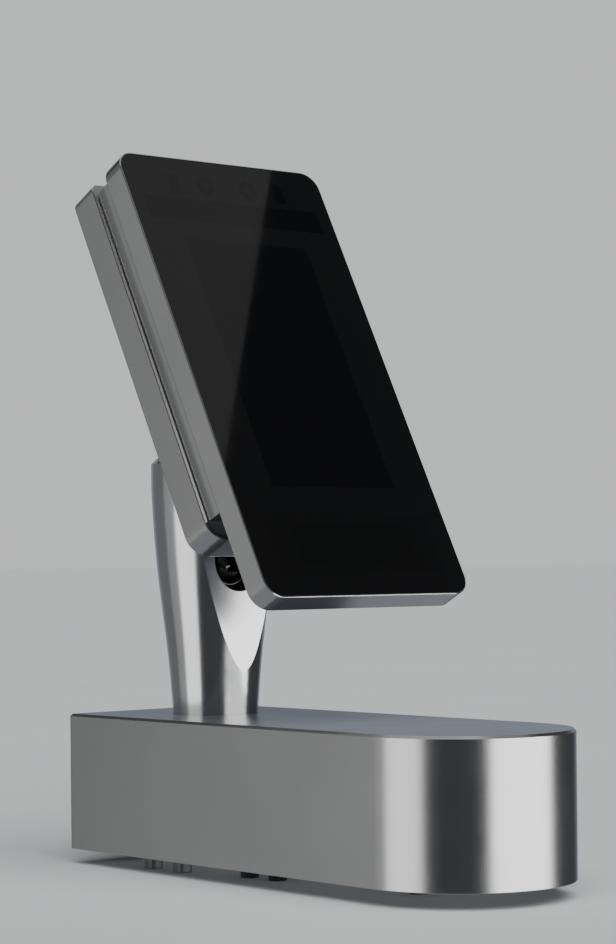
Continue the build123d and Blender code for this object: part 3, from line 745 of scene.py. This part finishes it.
def glass_panel(name, distance, width, tall, radiance):
    """Dim card whose slanted edge the cover glass reflects; it stands where that edge's reflection points."""
    mirrored = Vector((-0.904, 0.54781, -0.65082))
    upper = Vector((0.638, -0.310, 0.705)).normalized()
    lower = Vector((0.630, -0.410, 0.659)).normalized()
    across = upper.cross(lower).normalized()
    if across.dot(Vector((0.595, -0.325, 0.735))) < 0:
        across.negate()
    middle = (upper + lower).normalized()
    along = across.cross(middle).normalized()
    light = area_light(name, width, tall, radiance * math.pi * width * tall)
    turn = Matrix((across, along, across.cross(along))).transposed().to_4x4()
    light.matrix_world = Matrix.Translation(mirrored + middle * distance + across * width / 2) @ turn
    if (light.matrix_world.to_3x3() @ Vector((0, 0, -1))).dot(middle) > 0:
        light.matrix_world = light.matrix_world @ Matrix.Rotation(math.pi, 4, "Y")


class KIOSK_OT_stage(bpy.types.Operator):
    """Set out the floor, the studio lights and the camera"""

    bl_idname = "kiosk.stage"
    bl_label = "Stage"

    def execute(self, context):
        settings = stage_settings()
        deselect()
        bpy.ops.mesh.primitive_circle_add(vertices=96, radius=FLOOR_RADIUS, fill_type="NGON")
        floor = bpy.context.object
        floor.name = "studio_floor"
        made = Finish("Floor paper", tuple(settings.floor), 0.75, **{"Specular IOR Level": 0.0})
        made.paint(made.mix(made.ramp(made.noise(3.0, 3.0), 0.3, 0.7), tint(tuple(settings.floor), 0.985),
                            tint(tuple(settings.floor), 1.015)))
        floor.data.materials.append(made.material)
        floor.visible_glossy = False

        for panel in PANELS:
            softbox(*panel)
        bpy.data.objects["under_panel"].rotation_euler = (math.pi, 0.0, 0.0)
        dark_glass = bpy.data.collections.new("dark_glass")
        dark_glass.objects.link(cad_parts["cover_glass"])
        dark_glass.collection_objects[0].light_linking.link_state = "EXCLUDE"
        for name in PANELS_OFF_GLASS:
            bpy.data.objects[name].light_linking.receiver_collection = dark_glass
        glass_panel("glass_panel", 2.6, 1.1, 2.4, 0.30)
        sky = bpy.data.lights.new("soft_sky", "SUN")
        sky.energy = 3.0
        sky.angle = math.radians(70)
        sky_light = bpy.data.objects.new("soft_sky", sky)
        context.collection.objects.link(sky_light)
        sky_light.rotation_euler = (math.radians(30), math.radians(-16), 0.0)
        sky_light.visible_glossy = False

        world = bpy.data.worlds.new("Studio")
        world.use_nodes = True
        context.scene.world = world
        nodes = world.node_tree.nodes
        links = world.node_tree.links
        backdrop = nodes.new("ShaderNodeBackground")
        backdrop.inputs["Color"].default_value = (0.80, 0.81, 0.82, 1.0)
        backdrop.inputs["Strength"].default_value = 0.825
        room = nodes["Background"]
        room.inputs["Color"].default_value = (0.55, 0.58, 0.62, 1.0)
        room.inputs["Strength"].default_value = 0.11
        seen = nodes.new("ShaderNodeLightPath")
        blend = nodes.new("ShaderNodeMixShader")
        links.new(seen.outputs["Is Camera Ray"], blend.inputs["Fac"])
        links.new(room.outputs["Background"], blend.inputs[1])
        links.new(backdrop.outputs["Background"], blend.inputs[2])
        links.new(blend.outputs["Shader"], nodes["World Output"].inputs["Surface"])

        data = bpy.data.cameras.new("Camera")
        data.lens = settings.lens
        data.sensor_width = 36.0
        data.sensor_fit = "AUTO"
        data.shift_y = settings.rise
        data.clip_start = 0.01
        camera = bpy.data.objects.new("Camera", data)
        context.collection.objects.link(camera)
        level = Matrix.Rotation(settings.camera_turn, 4, "Z") @ Matrix.Rotation(math.radians(90), 4, "X")
        roll = Matrix.Rotation(settings.camera_roll, 4, "Z")
        camera.matrix_world = Matrix.Translation(settings.camera_place) @ level @ roll
        context.scene.camera = camera
        return {"FINISHED"}


STEPS = (
    KIOSK_OT_stage,
    KIOSK_OT_housing,
    KIOSK_OT_top,
    KIOSK_OT_post,
    KIOSK_OT_glass,
    KIOSK_OT_insides,
    KIOSK_OT_sockets,
    KIOSK_OT_screws,
    KIOSK_OT_feet,
    KIOSK_OT_button,
)


class KIOSK_PT_panel(bpy.types.Panel):
    """Lists the kiosk's operators and settings"""

    bl_label = "Charging Kiosk"
    bl_idname = "KIOSK_PT_panel"
    bl_space_type = "VIEW_3D"
    bl_region_type = "UI"
    bl_category = "Kiosk"

    def draw(self, context):
        layout = self.layout
        for step in STEPS:
            layout.operator(step.bl_idname)
        for group in (context.scene.kiosk_finish, context.scene.kiosk_sizes, context.scene.kiosk_stage):
            box = layout.box()
            for key in group.__annotations__:
                box.prop(group, key)


SETTINGS = {
    "kiosk_finish": KioskFinishSettings,
    "kiosk_sizes": KioskSizeSettings,
    "kiosk_stage": KioskStageSettings,
}


def register():
    for group in SETTINGS.values():
        bpy.utils.register_class(group)
    for name, group in SETTINGS.items():
        setattr(bpy.types.Scene, name, bpy.props.PointerProperty(type=group))
    for step in STEPS:
        bpy.utils.register_class(step)
    bpy.utils.register_class(KIOSK_PT_panel)


def unregister():
    bpy.utils.unregister_class(KIOSK_PT_panel)
    for step in reversed(STEPS):
        bpy.utils.unregister_class(step)
    for name in SETTINGS:
        delattr(bpy.types.Scene, name)
    for group in reversed(list(SETTINGS.values())):
        bpy.utils.unregister_class(group)


def main():
    register()
    for step in STEPS:
        family, action = step.bl_idname.split(".")
        getattr(getattr(bpy.ops, family), action)()


if __name__ == "__main__":
    main()
